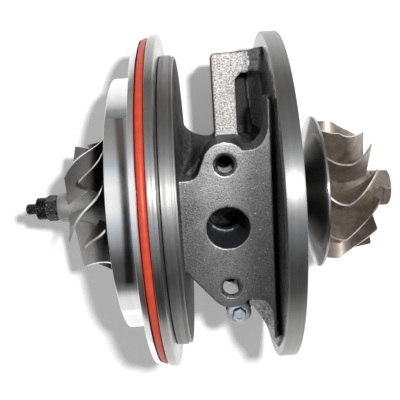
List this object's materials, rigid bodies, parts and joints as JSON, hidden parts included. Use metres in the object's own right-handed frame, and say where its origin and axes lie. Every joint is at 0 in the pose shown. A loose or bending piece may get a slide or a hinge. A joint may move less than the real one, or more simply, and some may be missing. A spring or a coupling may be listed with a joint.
{
  "type": "turbocharger cartridge",
  "caption": "Turbocharger core: bearing housing with a rotor carrying a compressor wheel and a turbine wheel, an oil drain flange, and sealed rims for both volutes.",
  "frame": {"origin": "middle of the object's box in X and Y, at its lowest level, which is a flat of the compressor back plate's rim", "axes": "+X along the rotor axis from the compressor wheel to the turbine wheel, +Z out of the oil drain flange"},
  "size_m": [0.1298, 0.1148, 0.1148],
  "materials": {
    "casting": "cast, with machined rims and faces",
    "back_plate": "bright turned",
    "compressor_wheel": "matt as cast, with turned edges",
    "turbine_wheel": "nickel alloy, satin, slightly bronze",
    "ground_steel": "ground",
    "black_steel": "black oxide",
    "zinc_steel": "bright zinc plate",
    "bronze": "machined bearing bronze",
    "red_ring": "moulded, satin",
    "black_ring": "moulded",
    "sheet_steel": "pressed sheet"
  },
  "bodies": {
    "housing": {"bearing_housing": "casting", "compressor_backplate": "back_plate", "backplate_o_ring": "red_ring", "housing_seal_ring": "black_ring", "backplate_screw_1": "zinc_steel", "backplate_screw_2": "zinc_steel", "backplate_screw_3": "zinc_steel", "backplate_screw_4": "zinc_steel", "gallery_bolt": "zinc_steel", "heat_shield": "sheet_steel", "thrust_bearing": "bronze", "thrust_bearing_pin_1": "ground_steel", "thrust_bearing_pin_2": "ground_steel", "oil_deflector": "sheet_steel", "bearing_snap_ring_1": "ground_steel", "bearing_snap_ring_2": "ground_steel", "bearing_snap_ring_3": "ground_steel", "bearing_snap_ring_4": "ground_steel", "compressor_piston_ring": "ground_steel", "turbine_piston_ring": "ground_steel"},
    "rotor": {"rotor_shaft": "ground_steel", "turbine_wheel": "turbine_wheel", "compressor_wheel": "compressor_wheel", "shaft_nut": "black_steel", "thrust_collar": "ground_steel", "oil_flinger_sleeve": "ground_steel"},
    "compressor_bush": {"compressor_journal_bearing": "bronze"},
    "turbine_bush": {"turbine_journal_bearing": "bronze"}
  },
  "joints": [
    {"name": "rotor_spin", "type": "hinge", "parent": "housing", "child": "rotor", "pos_m": [0.001, 0, 0.05738], "axis": [1, 0, 0], "continuous": true},
    {"name": "compressor_bush_spin", "type": "hinge", "parent": "housing", "child": "compressor_bush", "pos_m": [0.0014, 0, 0.05738], "axis": [1, 0, 0], "continuous": true},
    {"name": "turbine_bush_spin", "type": "hinge", "parent": "housing", "child": "turbine_bush", "pos_m": [0.0184, 0, 0.05738], "axis": [1, 0, 0], "continuous": true}
  ]
}
